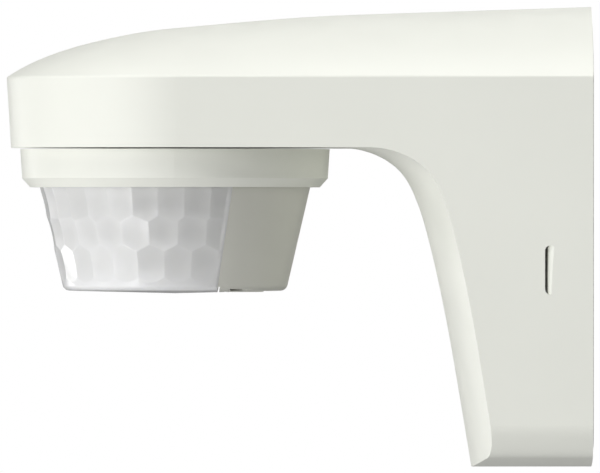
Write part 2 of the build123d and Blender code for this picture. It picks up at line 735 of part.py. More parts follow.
def pry_grooves():
    """Short grooves in the rounded edge beside the cover, to open it by."""
    near, far = (HEAD_D - back for back in reversed(GROOVE_BACK))
    middle = sum(GROOVE_BACK) / 2
    edge = (CUP_LOW_R**2 - middle**2) ** 0.5 - CUP_EDGE_R
    return both_sides(block((edge, edge + PAST), (near, far), GROOVE_Z))


def seam_groove():
    low = block((-WIDTH, WIDTH), (0, REACH), (-REACH, SEAM_GROOVE_Z))
    return (behind_seam() - behind_seam(SEAM_GROOVE)) & low


def shroud():
    """The opaque rear of the cup, with the opening for the settings cover."""
    part = (cup(SHROUD_WALL) & behind_seam()) + cover_ears() - seam_groove()
    return part - cover_opening() - pry_grooves() - cover_hinge_hole()


def lens_frame():
    """The dark partition that closes the lens chamber at the back and carries its edges."""
    whole = cup_block(SHROUD_WALL, COLLAR_TOP_Z - COLLAR_PLATE)
    return (whole & behind_seam()) - behind_seam(FRAME_THICK)


def sensor_board():
    disc = rod_up(SENSOR_BOARD_R, 0, HEAD_D, (SENSOR_BOARD_Z, SENSOR_BOARD_Z + BOARD_THICK))
    holes = [rod_up(SCREW_R, x, d, (0, COLLAR_TOP_Z)) for x, d in head_screw_spots()]
    return disc - behind_seam(-SENSOR_BOARD_GAP) - holes


def pyro_cans():
    """The sensor cans, let into the carrier's faces."""
    can = Pos(0, PYRO_SINK - CARRIER_R - PYRO_LONG / 2, PYRO_Z) * Rot(90, 0, 0) * Cylinder(PYRO_R, PYRO_LONG)
    return [Pos(0, -HEAD_D, 0) * Rot(0, 0, k * PYRO_TURN) * can for k in (-1, 0, 1)]


def sensor_carrier():
    """A post with flat faces that aims the sensors ahead and to both sides."""
    low, high = CARRIER_Z
    prism = extrude(RegularPolygon(CARRIER_R, 6, major_radius=False), high - low)
    post = Pos(0, -HEAD_D, low) * Rot(0, 0, PYRO_TURN / 2) * prism
    return post - behind_seam(-CARRIER_BACK) - pyro_cans()


def light_sensor():
    """A small domed light sensor hanging from the sensor board."""
    d = HEAD_D + LIGHT_AHEAD
    return rod_up(LIGHT_R, 0, d, (LIGHT_LOW_Z, SENSOR_BOARD_Z)) + Pos(0, -d, LIGHT_LOW_Z) * Sphere(LIGHT_R)


def in_head(x, back, z):
    """A box in the head, placed by its distance behind the head's axis."""
    return block(x, (HEAD_D - back[1], HEAD_D - back[0]), z)


def control_board():
    return in_head((-CONTROL_X, CONTROL_X), CONTROL_BACK, (CONTROL_Z, CONTROL_Z + BOARD_THICK))


def potentiometer(x):
    socket = rod_up(DIAL_SHAFT_R + RUN, x, HEAD_D - DIAL_BACK, (POT_Z[0], SHAFT_TOP_Z + RUN))
    return in_head((x - POT_X, x + POT_X), POT_BACK, POT_Z) - socket


def potentiometers():
    return Compound(children=[potentiometer(x) for x in (-DIAL_X, DIAL_X)])


def dial_panel():
    panel = in_head((-PANEL_X, PANEL_X), PANEL_BACK, PANEL_Z)
    return panel - both_sides(rod_up(PANEL_HOLE_R, DIAL_X, HEAD_D - DIAL_BACK, PANEL_Z))


def dial(x):
    """A small adjuster wheel with a screwdriver slot and a pointer notch."""
    low, high = DIAL_Z
    d = HEAD_D - DIAL_BACK
    long, wide, deep = DIAL_SLOT
    notch_wide, notch_from, notch_deep = DIAL_NOTCH
    wheel = chamfer(rod_up(DIAL_R, x, d, DIAL_Z).edges().group_by(Axis.Z)[0], DIAL_EDGE)
    wheel = wheel + rod_up(DIAL_SHAFT_R, x, d, (high, SHAFT_TOP_Z))
    wheel = wheel - block((x - long / 2, x + long / 2), (d - wide / 2, d + wide / 2), (low, low + deep))
    return wheel - block((x - notch_wide / 2, x + notch_wide / 2), (d + notch_from, d + DIAL_R + PAST),
                         (low, low + notch_deep))


def adjuster_cover():
    """The little cover in the underside, on hinge pins along its rear edge."""
    front, hinge = COVER_BACK
    half = COVER_THICK / 2
    line = HEAD_D - hinge
    part = block((-COVER_X, COVER_X), (line, HEAD_D - front), (COVER_Z - half, COVER_Z + half))
    part = part + rod_across(half, line, COVER_Z, (-COVER_X, COVER_X))
    reach = COVER_X + COVER_PIN_LONG
    return part + rod_across(COVER_PIN_R, line, COVER_Z, (-reach, reach))


def board_link():
    """The row of pins that joins the settings board to the sensor board."""
    return in_head((-LINK_PINS_X, LINK_PINS_X), LINK_PINS_BACK, (CONTROL_Z + BOARD_THICK, SENSOR_BOARD_Z))


# ---------------------------------------------------------------- all parts
PARTS = {
    "housing_shell": housing_shell,
    "power_board": power_board,
    "board_screws": board_screws,
    "plug_pins": plug_pins,
    "plug_header": plug_header,
    "relay": lambda: on_board(*RELAY),
    "film_capacitor": lambda: on_board(*FILM_CAPACITOR),
    "capacitors": lambda: Compound(children=[capacitor(*can) for can in CANS]),
    "varistor": lambda: lying_rod(*VARISTOR),
    "fuse": lambda: lying_rod(*FUSE),
    "board_connector": lambda: on_board(*CONNECTOR),
    "link_cable": link_cable,
    "base_plate": base_plate,
    "base_seal": base_seal,
    "cable_grommet": cable_grommet,
    "terminal_block": terminal_block,
    "terminal_clamps": terminal_clamps,
    "terminal_screws": terminal_screws,
    "contact_strips": contact_strips,
    "socket_block": socket_block,
    "latch_right": latch,
    "latch_left": lambda: mirror(latch(), Plane.YZ),
    "head_collar": head_collar,
    "o_ring": o_ring,
    "retaining_ring": retaining_ring,
    "head_screws": head_screws,
    "lens": lens,
    "shroud": shroud,
    "lens_frame": lens_frame,
    "sensor_board": sensor_board,
    "sensor_carrier": sensor_carrier,
    "pyro_sensors": lambda: Compound(children=pyro_cans()),
    "light_sensor": light_sensor,
    "control_board": control_board,
    "potentiometers": potentiometers,
    "dial_panel": dial_panel,
    "board_link": board_link,
    "adjuster_cover": adjuster_cover,
    "dial_time": lambda: dial(-DIAL_X),
    "dial_light": lambda: dial(DIAL_X),
}

os.makedirs("parts", exist_ok=True)
for name, make in PARTS.items():
    export_step(make(), f"parts/{name}.step")
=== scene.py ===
"""Looks of the wall-mounted motion sensor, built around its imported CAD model. Metres, row frame."""

import json
import math
import random

import bmesh
import bpy
from mathutils import Matrix, Vector


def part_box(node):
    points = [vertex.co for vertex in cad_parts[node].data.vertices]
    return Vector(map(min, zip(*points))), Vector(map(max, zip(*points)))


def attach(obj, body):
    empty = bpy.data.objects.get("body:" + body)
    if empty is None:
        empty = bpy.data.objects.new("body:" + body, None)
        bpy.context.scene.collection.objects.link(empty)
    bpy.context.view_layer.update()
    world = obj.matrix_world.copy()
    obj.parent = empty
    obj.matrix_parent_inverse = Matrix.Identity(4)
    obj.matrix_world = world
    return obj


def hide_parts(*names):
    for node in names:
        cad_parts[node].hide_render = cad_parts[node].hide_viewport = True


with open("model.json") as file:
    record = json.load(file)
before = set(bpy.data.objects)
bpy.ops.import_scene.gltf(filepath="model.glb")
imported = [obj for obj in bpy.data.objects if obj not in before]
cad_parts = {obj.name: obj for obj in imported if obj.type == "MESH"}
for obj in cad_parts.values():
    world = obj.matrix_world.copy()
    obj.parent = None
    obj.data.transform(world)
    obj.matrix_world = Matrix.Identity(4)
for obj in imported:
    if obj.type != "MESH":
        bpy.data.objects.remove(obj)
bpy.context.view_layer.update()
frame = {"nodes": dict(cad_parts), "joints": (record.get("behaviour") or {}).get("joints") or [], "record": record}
NODES = frame["nodes"]
MM = 0.001


# ---------------------------------------------------------------- materials
def new_material(name):
    """A material with a principled shader, as (material, node tree, shader)."""
    material = bpy.data.materials.new(name)
    material.use_nodes = True
    tree = material.node_tree
    return material, tree, tree.nodes["Principled BSDF"]


def noise(tree, scale, detail=3.0):
    """Noise fixed to the object, with the given number of waves per metre."""
    place = tree.nodes.new("ShaderNodeTexCoord")
    node = tree.nodes.new("ShaderNodeTexNoise")
    node.inputs["Scale"].default_value = scale
    node.inputs["Detail"].default_value = detail
    tree.links.new(place.outputs["Object"], node.inputs["Vector"])
    return node.outputs["Fac"]


def vary_colour(tree, shader, colour, amount, scale):
    """A slow drift between a slightly darker and a slightly lighter tone of the colour."""
    ramp = tree.nodes.new("ShaderNodeValToRGB")
    for stop, gain in zip(ramp.color_ramp.elements, (1 - amount, 1 + amount)):
        stop.color = (*[min(1.0, c * gain) for c in colour], 1)
    ramp.color_ramp.elements[0].position = 0.3
    ramp.color_ramp.elements[1].position = 0.7
    tree.links.new(noise(tree, scale), ramp.inputs["Fac"])
    tree.links.new(ramp.outputs["Color"], shader.inputs["Base Color"])


def vary_roughness(tree, shader, low, high, scale):
    span = tree.nodes.new("ShaderNodeMapRange")
    span.inputs["From Min"].default_value = 0.3
    span.inputs["From Max"].default_value = 0.7
    span.inputs["To Min"].default_value = low
    span.inputs["To Max"].default_value = high
    tree.links.new(noise(tree, scale), span.inputs["Value"])
    tree.links.new(span.outputs["Result"], shader.inputs["Roughness"])


def roughen(tree, shader, height, scale, detail=2.0):
    """A fine grain of the given height in metres."""
    bump = tree.nodes.new("ShaderNodeBump")
    bump.inputs["Distance"].default_value = height
    bump.inputs["Strength"].default_value = 1.0
    tree.links.new(noise(tree, scale, detail), bump.inputs["Height"])
    tree.links.new(bump.outputs["Normal"], shader.inputs["Normal"])


def moulded(name, colour, roughness=0.45, grain=0.000012, drift=0.012, glow=0.0):
    """Moulded plastic: a faint drift of tone, uneven gloss, a fine eroded grain, and a white emission of strength
    glow. On the dark parts this emission is a painted glow that lightens their shade.
    """
    material, tree, shader = new_material(name)
    vary_colour(tree, shader, colour, drift, 35)
    vary_roughness(tree, shader, roughness - 0.05, roughness + 0.05, 220)
    roughen(tree, shader, grain, 2600)
    shader.inputs["IOR"].default_value = 1.5
    shader.inputs["Emission Color"].default_value = (1, 1, 1, 1)
    shader.inputs["Emission Strength"].default_value = glow
    return material


def milky_plastic(name, colour):
    """The lens's cloudy plastic: light spreads inside it and its surface is smooth."""
    material, tree, shader = new_material(name)
    vary_colour(tree, shader, colour, 0.01, 60)
    vary_roughness(tree, shader, 0.2, 0.27, 300)
    shader.inputs["IOR"].default_value = 1.5
    shader.inputs["Subsurface Weight"].default_value = 0.7
    shader.inputs["Subsurface Radius"].default_value = (0.004, 0.004, 0.0044)
    shader.inputs["Subsurface Scale"].default_value = 1.0
    return material


def metal(name, colour, roughness, scale=900):
    material, tree, shader = new_material(name)
    vary_colour(tree, shader, colour, 0.06, 400)
    vary_roughness(tree, shader, roughness - 0.07, roughness + 0.07, scale)
    roughen(tree, shader, 0.000006, 3000)
    shader.inputs["Metallic"].default_value = 1.0
    return material


def rubber(name, colour):
    material, tree, shader = new_material(name)
    vary_colour(tree, shader, colour, 0.08, 150)
    vary_roughness(tree, shader, 0.6, 0.8, 500)
    roughen(tree, shader, 0.00003, 1800)
    return material


def board_mask(name):
    """Green solder mask over copper: broad darker and lighter areas where the tracks run."""
    material, tree, shader = new_material(name)
    place = tree.nodes.new("ShaderNodeTexCoord")
    brick = tree.nodes.new("ShaderNodeTexBrick")
    brick.inputs["Scale"].default_value = 230
    brick.inputs["Mortar Size"].default_value = 0.03
    brick.inputs["Color1"].default_value = (0.012, 0.10, 0.035, 1)
    brick.inputs["Color2"].default_value = (0.016, 0.13, 0.045, 1)
    brick.inputs["Mortar"].default_value = (0.03, 0.20, 0.07, 1)
    tree.links.new(place.outputs["Object"], brick.inputs["Vector"])
    tree.links.new(brick.outputs["Color"], shader.inputs["Base Color"])
    vary_roughness(tree, shader, 0.25, 0.4, 500)
    roughen(tree, shader, 0.00001, 1500)
    return material


def clear_glass(name):
    material, tree, shader = new_material(name)
    vary_colour(tree, shader, (0.9, 0.94, 0.94), 0.02, 200)
    vary_roughness(tree, shader, 0.03, 0.08, 400)
    shader.inputs["Transmission Weight"].default_value = 0.9
    return material


OFF_WHITE = (0.83, 0.84, 0.775)
SATIN_GREY = (0.66, 0.66, 0.605)
MILK = (0.85, 0.855, 0.88)

MATERIALS = {
    "housing_plastic": moulded("housing plastic", OFF_WHITE, 0.42),
    "collar_plastic": moulded("collar plastic", OFF_WHITE, 0.40),
    "base_plastic": moulded("base plastic", (0.74, 0.75, 0.70), 0.5),
    "shroud_plastic": moulded("shroud plastic", SATIN_GREY, 0.36, 0.000008),
    "lens_plastic": milky_plastic("lens plastic", MILK),
    # painted glow: the last number on dark plastic, terminal plastic, relay case, film capacitor case, capacitor
    # sleeve, varistor coat and cable sheath is a white emission that lightens them as if lit
    "dark_plastic": moulded("dark plastic", (0.02, 0.02, 0.022), 0.5, 0.00002, 0.2),
    "grey_rubber": rubber("grey rubber", (0.13, 0.13, 0.13)),
    "black_rubber": rubber("black rubber", (0.02, 0.02, 0.02)),
    "terminal_plastic": moulded("terminal plastic", (0.36, 0.37, 0.37), 0.45, 0.00002, 0.04),
    "brass_plain": metal("brass", (0.72, 0.50, 0.20), 0.3),
    "steel_zinc": metal("zinc plated steel", (0.62, 0.63, 0.66), 0.32),
    "sensor_can": metal("drawn can", (0.70, 0.69, 0.66), 0.25),
    "circuit_board": board_mask("circuit board"),
    "relay_case": moulded("relay case", (0.02, 0.022, 0.03), 0.35, 0.00002, 0.15),
    "film_case": moulded("film capacitor case", (0.72, 0.48, 0.05), 0.3, 0.00001, 0.05),
    "can_sleeve": moulded("capacitor sleeve", (0.012, 0.014, 0.06), 0.25, 0.000005, 0.1),
    "varistor_coat": moulded("varistor coat", (0.03, 0.09, 0.33), 0.3, 0.00006, 0.1),
    "fuse_glass": clear_glass("fuse glass"),
    "white_plastic": moulded("white plastic", (0.80, 0.80, 0.76), 0.4),
    "cable_sheath": moulded("cable sheath", (0.22, 0.22, 0.23), 0.5, 0.00003, 0.05),
}
SOLDER = metal("solder", (0.66, 0.66, 0.66), 0.28)


def dress_nodes():
    """Each CAD node takes its material from its slot in the record."""
    for part in frame["record"]["subparts"]:
        mesh = NODES[part["node"]].data
        mesh.materials.clear()
        mesh.materials.append(MATERIALS[part["material_slot"]])


SOFTENED = {  # millimetres
    "housing_shell": 0.35, "head_collar": 0.2, "shroud": 0.2, "adjuster_cover": 0.15, "base_plate": 0.2,
    "terminal_block": 0.25, "socket_block": 0.25, "relay": 0.25, "film_capacitor": 0.25,
}


def soften_edges(node, width):
    """Rounds a moulding's sharp edges over."""
    bevel = NODES[node].modifiers.new("softened", "BEVEL")
    bevel.width = width
    bevel.segments = 2
    bevel.limit_method = "ANGLE"
    bevel.angle_limit = math.radians(35)
    bevel.use_clamp_overlap = True
    bevel.harden_normals = True


# ---------------------------------------------------------------- small shapes
def piece(name, bm, material, body, smooth=None):
    """A finished mesh as an object that rides on a CAD body."""
    mesh = bpy.data.meshes.new(name)
    bm.normal_update()
    bm.to_mesh(mesh)
    bm.free()
    mesh.materials.append(material)
    if smooth is not None:
        mesh.shade_smooth()
        mesh.set_sharp_from_angle(angle=math.radians(smooth))
    obj = bpy.data.objects.new(name, mesh)
    bpy.context.scene.collection.objects.link(obj)
    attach(obj, body)
    return obj


def add_block(bm, low, high, bevel=0.0):
    """A box between two corners, its edges bevelled."""
    low, high = Vector(low), Vector(high)
    size = high - low
    place = Matrix.Translation((low + high) / 2) @ Matrix.Diagonal((*size, 1))
    made = bmesh.ops.create_cube(bm, size=1, matrix=place)["verts"]
    if bevel:
        edges = list({edge for vert in made for edge in vert.link_edges})
        bmesh.ops.bevel(bm, geom=edges, offset=bevel, segments=2, profile=0.5, affect="EDGES")


def add_turned(bm, profile, place, turns=32):
    """A profile of (radius, height) points turned about the local Z axis of a placement matrix."""
    rings = []
    for radius, height in profile:
        if radius < 1e-9:
            rings.append([bm.verts.new(place @ Vector((0, 0, height)))])
            continue
        rings.append([
            bm.verts.new(place @ Vector((radius * math.cos(a), radius * math.sin(a), height)))
            for a in (2 * math.pi * k / turns for k in range(turns))
        ])
    for low, high in zip(rings, rings[1:]):
        for k in range(turns):
            corners = [low[k % len(low)], low[(k + 1) % turns % len(low)],
                       high[(k + 1) % turns % len(high)], high[k % len(high)]]
            unique = list(dict.fromkeys(corners))
            if len(unique) > 2:
                bm.faces.new(unique)


# ---------------------------------------------------------------- the faceted lens
LENS_WALL = 0.9 * MM
FACET_SINK = 0.42 * MM  # how deep the middle of a facet lies below the cup's cone
FACET_CURVE = 1.15  # 1 is flat across; more is hollow
SEAM_STRIP = 0.9 * MM
ROW_HIGH = 6.65 * MM
ROW_MIDDLE = 0.65 * MM
ROW_PITCH = (13.3, 13.3, 11.6)  # degrees, from the lowest row up
ROW_START = (1.7, -5.1, -1.4)  # degrees from the head's side to one facet's middle in each row
LENS_SKIN = 0.02 * MM  # how far the facets' edges stay inside the CAD cone
LENS_ROWS = 100
EDGE_ROWS = 14
COLUMNS = 1080


def head_axis():
    """The upright line the head turns about, as a point."""
    joint = next(j for j in frame["joints"] if j["name"] == "head_turn")
    return Vector((joint["pos_m"][0], joint["pos_m"][1], 0))


AXIS = head_axis()
LENS_LOW, LENS_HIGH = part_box("lens")
FRAME_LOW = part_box("lens_frame")[0]  # its front edge lies on the seam plane
COLLAR_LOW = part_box("head_collar")[0]
CUP_R = AXIS.y - LENS_LOW.y  # the cup's radius at its top
CUP_FOOT_R = 25.1 * MM  # where its side would meet its bottom
CUP_FOOT_Z = LENS_LOW.z + 0.6 * MM
CUP_BOTTOM_Z = LENS_LOW.z
CUP_EDGE_R = 1.7 * MM
SEAM_TOP = LENS_HIGH.y - AXIS.y
SEAM_LOW = FRAME_LOW.y - AXIS.y
SEAM_LEAN = (SEAM_TOP - SEAM_LOW) / (LENS_HIGH.z - FRAME_LOW.z)


def cone_radius(z):
    share = (z - CUP_FOOT_Z) / (COLLAR_LOW.z - CUP_FOOT_Z)
    return CUP_FOOT_R + (CUP_R - CUP_FOOT_R) * min(share, 1.0)


def seam_y(z):
    """Where the leaning seam plane stands behind the head's axis at height z."""
    return SEAM_LOW + SEAM_LEAN * (z - FRAME_LOW.z)


def facet_middles():
    """(angle, height) of each facet's middle, angles from the head's side towards its rear."""
    middles = []
    for row, (pitch, start) in enumerate(zip(ROW_PITCH, ROW_START)):
        height = ROW_MIDDLE + (row - 1) * ROW_HIGH
        for side in (1, -1):
            for k in range(-20, 21):
                angle = start + k * pitch
                if -90 < angle < 35:
                    middles.append((math.radians(angle) * side + (side < 0) * math.pi, height))
    return middles


FACETS = facet_middles()


def facet_rise(angle, z):
    """How far the surface rises from the nearest facet's middle."""
    radius = cone_radius(z)
    best = 1.0
    for middle, height in FACETS:
        across = math.remainder(angle - middle, 2 * math.pi) * radius
        if abs(across) < 3 * ROW_HIGH:
            best = min(best, across * across + (z - height) ** 2)
    return FACET_CURVE * best / (2 * radius)


def lens_radius(angle, z):
    """The lens's outside: hollow facets that run out to nothing along the seam."""
    radius = cone_radius(z)
    to_seam = (seam_y(z) - radius * math.sin(angle)) / SEAM_STRIP
    sink = (FACET_SINK - facet_rise(angle, z)) * min(max(to_seam, 0.0), 1.0)
    return radius - LENS_SKIN - max(sink, 0.0)


def lens_profile(angle):
    """Points down one side of the lens at an angle from +X, outside first, then back up inside."""
    points = [(CUP_R - LENS_SKIN, LENS_HIGH.z), (CUP_R - LENS_SKIN, COLLAR_LOW.z + 0.3 * MM)]
    foot_z = CUP_FOOT_Z + CUP_EDGE_R
    for k in range(LENS_ROWS + 1):
        z = COLLAR_LOW.z + (foot_z - COLLAR_LOW.z) * k / LENS_ROWS
        points.append((lens_radius(angle, z), z))
    start = cone_radius(foot_z) - LENS_SKIN
    for k in range(1, EDGE_ROWS + 1):
        turn = math.pi / 2 * k / EDGE_ROWS
        z = foot_z - CUP_EDGE_R * math.sin(turn)
        points.append((min(start - CUP_EDGE_R * (1 - math.cos(turn)), lens_radius(angle, z)), z))
    for share in (0.85, 0.6, 0.3, 0.0):
        points.append((CUP_FOOT_R * share, CUP_BOTTOM_Z + (CUP_FOOT_Z - CUP_BOTTOM_Z) * share))
    inside = [(0.0, CUP_BOTTOM_Z + LENS_WALL), (CUP_FOOT_R - 2 * LENS_WALL, CUP_FOOT_Z + LENS_WALL),
              (CUP_FOOT_R - LENS_WALL, CUP_FOOT_Z + 2 * LENS_WALL),
              (CUP_R - LENS_WALL, COLLAR_LOW.z), (CUP_R - LENS_WALL, LENS_HIGH.z)]
    return points + inside


def faceted_lens():
    """The whole cup as a turned grid, cut off at the seam plane."""
    bm = bmesh.new()
    rings = []
    for k in range(COLUMNS):
        angle = 2 * math.pi * k / COLUMNS
        # every column has the same number of points, so the grid closes on itself
        rings.append([
            bm.verts.new(AXIS + Vector((r * math.cos(angle), r * math.sin(angle), z)))
            for r, z in lens_profile(angle)
        ])
    for k in range(COLUMNS):
        left, right = rings[k], rings[(k + 1) % COLUMNS]
        for j in range(len(left)):
            j2 = (j + 1) % len(left)
            bm.faces.new((left[j], right[j], right[j2], left[j2]))
    bmesh.ops.remove_doubles(bm, verts=bm.verts, dist=1e-7)
    normal = Vector((0, 1, -SEAM_LEAN))
    cut = bmesh.ops.bisect_plane(
        bm, geom=bm.verts[:] + bm.edges[:] + bm.faces[:],
        plane_co=AXIS + Vector((0, seam_y(0), 0)), plane_no=normal, clear_outer=True)
    rim = [e for e in cut["geom_cut"] if isinstance(e, bmesh.types.BMEdge)]
    bmesh.ops.holes_fill(bm, edges=rim)
    bmesh.ops.recalc_face_normals(bm, faces=bm.faces)
    lens = piece("faceted_lens", bm, MATERIALS["lens_plastic"], "sensor_head", 50)
    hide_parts("lens")


# ---------------------------------------------------------------- small trim
PRINT_THICK = 0.05 * MM
STROKE = 0.16 * MM
TICKS = 11
TICK_TURN = 27  # degrees from one tick to the next
TICK_REACH = (3.6 * MM, 4.3 * MM)  # a tick's ends from the dial's middle
TICK_WIDE = 0.22 * MM
PANEL_EDGE = (0.2 * MM, 0.1 * MM)  # unprinted edge across and behind
ICON_IN = (2.0 * MM, 1.5 * MM)  # an icon's middle from the panel's rear corner
CLOCK_R = (0.75 * MM, 0.95 * MM)
CLOCK_HANDS = ((0, 0.6 * MM, 0), (0.4 * MM, 0, 0))
SUN_R = 0.45 * MM
SUN_RAYS = 8
RAY_REACH = (0.62 * MM, 1.0 * MM)
RING_TURNS = 28


def middle_of(node):
    low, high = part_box(node)
    return (low + high) / 2


def dial_marks():
    """Printed marks under the settings cover: a scale round each dial, a clock and a sun beside them."""
    low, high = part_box("dial_panel")
    across, behind = PANEL_EDGE
    bm = bmesh.new()
    for node in ("dial_time", "dial_light"):
        middle = middle_of(node)
        for k in range(TICKS):
            turn = math.radians(TICK_TURN * (k - TICKS // 2))
            way = Vector((math.sin(turn), math.cos(turn), 0))
            start, tip = [middle + way * reach for reach in TICK_REACH]
            if low.x + across < tip.x < high.x - across and low.y < tip.y < high.y - behind:
                add_bar(bm, start, tip, TICK_WIDE, low.z)
    clock = Vector((low.x + ICON_IN[0], high.y - ICON_IN[1], 0))
    add_ring(bm, clock, *CLOCK_R, low.z)
    for hand in CLOCK_HANDS:
        add_bar(bm, clock, clock + Vector(hand), STROKE, low.z)
    sun = Vector((high.x - ICON_IN[0], high.y - ICON_IN[1], 0))
    add_disc(bm, sun, SUN_R, low.z)
    for k in range(SUN_RAYS):
        turn = 2 * math.pi * k / SUN_RAYS
        way = Vector((math.cos(turn), math.sin(turn), 0))
        start, tip = [sun + way * reach for reach in RAY_REACH]
        add_bar(bm, start, tip, STROKE, low.z)
    piece("dial_marks", bm, MATERIALS["white_plastic"], "sensor_head")


def add_bar(bm, start, end, width, z):
    """A thin printed stroke on the underside of a panel at height z."""
    across = Vector((start.y - end.y, end.x - start.x, 0)).normalized() * width / 2
    print_shape(bm, [start + across, end + across, end - across, start - across], z)


def add_disc(bm, middle, radius, z):
    """A thin printed disc on the underside of a panel at height z."""
    turns = [2 * math.pi * k / RING_TURNS for k in range(RING_TURNS)]
    print_shape(bm, [middle + Vector((math.cos(a), math.sin(a), 0)) * radius for a in turns], z)


def add_ring(bm, middle, inner, outer, z):
    """A thin printed ring on the underside of a panel at height z."""
    profile = [(inner, 0), (outer, 0), (outer, -PRINT_THICK), (inner, -PRINT_THICK), (inner, 0)]
    add_turned(bm, profile, Matrix.Translation((middle.x, middle.y, z)), RING_TURNS)


def print_shape(bm, outline, z):
    lower = [bm.verts.new((c.x, c.y, z - PRINT_THICK)) for c in outline]
    upper = [bm.verts.new((c.x, c.y, z)) for c in outline]
    close_prism(bm, lower, upper)


def close_prism(bm, lower, upper):
    bm.faces.new(lower[::-1])
    bm.faces.new(upper)
    for k in range(len(lower)):
        k2 = (k + 1) % len(lower)
        bm.faces.new((lower[k], lower[k2], upper[k2], upper[k]))


CAP_OVER = 0.03 * MM  # how far a fuse cap stands out from the glass
CAP_LONG = 4.6 * MM
CAP_EDGE = 0.4 * MM
CAP_CLEAR = 0.01 * MM
CAP_LIP = (0.2 * MM, 0.1 * MM)


def fuse_caps():
    """Nickel caps pressed over the ends of the fuse's glass tube."""
    low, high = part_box("fuse")
    radius = (high.z - low.z) / 2
    middle = middle_of("fuse")
    bm = bmesh.new()
    for end, way in ((low.x, 1), (high.x, -1)):
        place = Matrix.Translation((end, middle.y, middle.z)) @ Matrix.Rotation(math.pi / 2 * way, 4, "Y")
        over = radius + CAP_OVER
        add_turned(bm, [(0, CAP_CLEAR), (over - CAP_EDGE, CAP_CLEAR), (over, CAP_EDGE), (over, CAP_LONG),
                        (radius - CAP_LIP[0], CAP_LONG + CAP_LIP[1])], place, 40)
    bmesh.ops.recalc_face_normals(bm, faces=bm.faces)
    piece("fuse_caps", bm, MATERIALS["steel_zinc"], "housing", 40)


WIDE_CAN = (5 * MM, 13 * MM)  # radius and height of the capacitor at the box's far corner
SLIM_CAN = (4 * MM, 11 * MM)
TOP_RIM = 0.7 * MM
TOP_LIP = 0.3 * MM
TOP_STEP = 0.5 * MM
TOP_SINK = 0.02 * MM
TOP_RISE = (0.02 * MM, 0.06 * MM)  # the disc's and its rim's height over the sleeve
VENT_SHARE = 0.7
VENT_HALF = 0.12 * MM
VENT_LIFT = 0.001 * MM
VENT_HIGH = 0.05 * MM


def can_tops():
    """Bare aluminium tops of the capacitors, each with its pressed vent cross."""
    low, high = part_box("capacitors")
    wide, slim = WIDE_CAN[0], SLIM_CAN[0]
    bm = bmesh.new()
    add_can_top(bm, Vector((high.x - wide, high.y - wide, low.z + WIDE_CAN[1])), wide)
    add_can_top(bm, Vector((low.x + slim, low.y + slim, low.z + SLIM_CAN[1])), slim)
    bmesh.ops.recalc_face_normals(bm, faces=bm.faces)
    piece("can_tops", bm, MATERIALS["sensor_can"], "housing", 40)


def add_can_top(bm, top, radius):
    rim = radius - TOP_RIM
    disc, edge = TOP_RISE
    add_turned(bm, [(rim, -TOP_SINK), (rim, edge), (rim - TOP_LIP, edge), (rim - TOP_STEP, disc), (0, disc)],
               Matrix.Translation(top), 40)
    for turn in (0, math.pi / 2):
        way = Vector((math.cos(turn), math.sin(turn), 0)) * rim * VENT_SHARE
        side = Vector((-way.y, way.x, 0)).normalized() * VENT_HALF
        base = top + Vector((0, 0, disc + VENT_LIFT))
        corners = [base + way + side, base - way + side, base - way - side, base + way - side]
        raised = [corner + Vector((0, 0, VENT_HIGH)) for corner in corners]
        close_prism(bm, [bm.verts.new(c) for c in corners], [bm.verts.new(c) for c in raised])


DRIVER_CHIP = ((13, 40.5), (18, 45))  # millimetres from the board's low corner, like the lists below
DRIVER_HIGH = 1.4 * MM
LEGS = 4
LEG_FROM = 13.6
LEG_PITCH = 1.27
LEG_HALF = 0.2 * MM
LEG_LONG = 0.9 * MM
LEG_HIGH = 0.25 * MM
CHIP_SPOTS = ((7, 43), (10, 43), (23, 46), (27, 46), (25, 43), (31, 46), (35, 46), (39, 45),
              (11, 18), (11, 15), (7, 12), (24, 12), (27, 12))
CHIP_HALF = (0.7, 0.6)
CHIP_HIGH = 0.5 * MM
CHIP_DRIFT = 0.3  # millimetres that hand-placed parts stray
END_OUT = 0.85
END_HALF = 0.2
END_HIGH = 0.52 * MM
SOLDER_SPOTS = ((6, 35), (6, 25), (21, 36), (21, 24), (14, 24), (32, 36), (44, 36), (39.5, 23),
                (44.5, 23), (28.5, 20), (31.5, 20), (19, 12), (19, 7), (33, 11), (49, 11), (24, 5),
                (27, 5), (30, 5), (15.75, 48.5), (23.25, 48.5), (30.75, 48.5), (38.25, 48.5))
SOLDER_SIZE = (0.9, 1.1)


def board_chips():
    """Small surface parts on the power board, and the solder cones of the parts above it."""
    low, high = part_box("power_board")
    corner = Vector((low.x, low.y, 0))
    dice = random.Random(7)
    chips, ends, solder = bmesh.new(), bmesh.new(), bmesh.new()
    add_driver(chips, ends, corner, high.z)
    for x, y in CHIP_SPOTS:
        y += dice.uniform(-CHIP_DRIFT, CHIP_DRIFT)
        add_flat(chips, corner, (x, y), CHIP_HALF, high.z, CHIP_HIGH, 0.05 * MM)
        for side in (-1, 1):
            add_flat(ends, corner, (x + side * END_OUT, y), (END_HALF, CHIP_HALF[1]), high.z, END_HIGH)
    for x, y in SOLDER_SPOTS:
        spot = corner + Vector((x * MM, y * MM, low.z))
        place = Matrix.Translation(spot) @ Matrix.Rotation(math.pi, 4, "X")
        size = dice.uniform(*SOLDER_SIZE) * MM
        add_turned(solder, [(1.1 * size, 0), (0.8 * size, 0.3 * MM), (0.4 * size, 0.9 * size),
                            (0.3 * size, 1.3 * size), (0, 1.35 * size)], place, 20)
    piece("board_chips", chips, MATERIALS["dark_plastic"], "housing")
    piece("chip_ends", ends, MATERIALS["steel_zinc"], "housing")
    piece("solder_joints", solder, SOLDER, "housing", 50)


def add_flat(bm, corner, middle, half, z, high, bevel=0.0):
    """A flat part on the board, given in millimetres from its corner."""
    low = corner + Vector(((middle[0] - half[0]) * MM, (middle[1] - half[1]) * MM, z))
    top = corner + Vector(((middle[0] + half[0]) * MM, (middle[1] + half[1]) * MM, z + high))
    add_block(bm, low, top, bevel)


